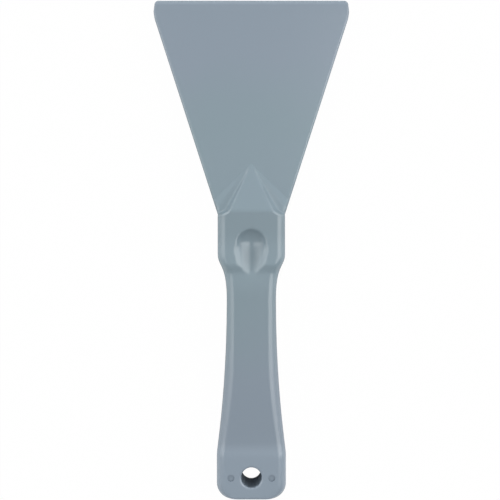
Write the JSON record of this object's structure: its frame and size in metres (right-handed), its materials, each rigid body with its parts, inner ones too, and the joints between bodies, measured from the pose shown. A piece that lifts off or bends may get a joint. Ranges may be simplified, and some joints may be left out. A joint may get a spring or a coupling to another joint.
{
  "type": "paint scraper",
  "caption": "Moulded plastic hand scraper: a wide tapered blade with a bevelled edge, held by a handle with a pointed nose, thumb rest, waisted grip and hanging hole.",
  "frame": {"origin": "centre of the bounding box, on the surface that the tool lies on with its back down", "axes": "+Y along the tool from the tail to the scraping edge, +X across the blade, +Z out of the front face"},
  "size_m": [0.1016, 0.2568, 0.02],
  "materials": {
    "blade_plastic": "satin moulded",
    "handle_plastic": "satin moulded"
  },
  "bodies": {
    "root": {"blade": "blade_plastic", "handle": "handle_plastic"}
  },
  "joints": []
}
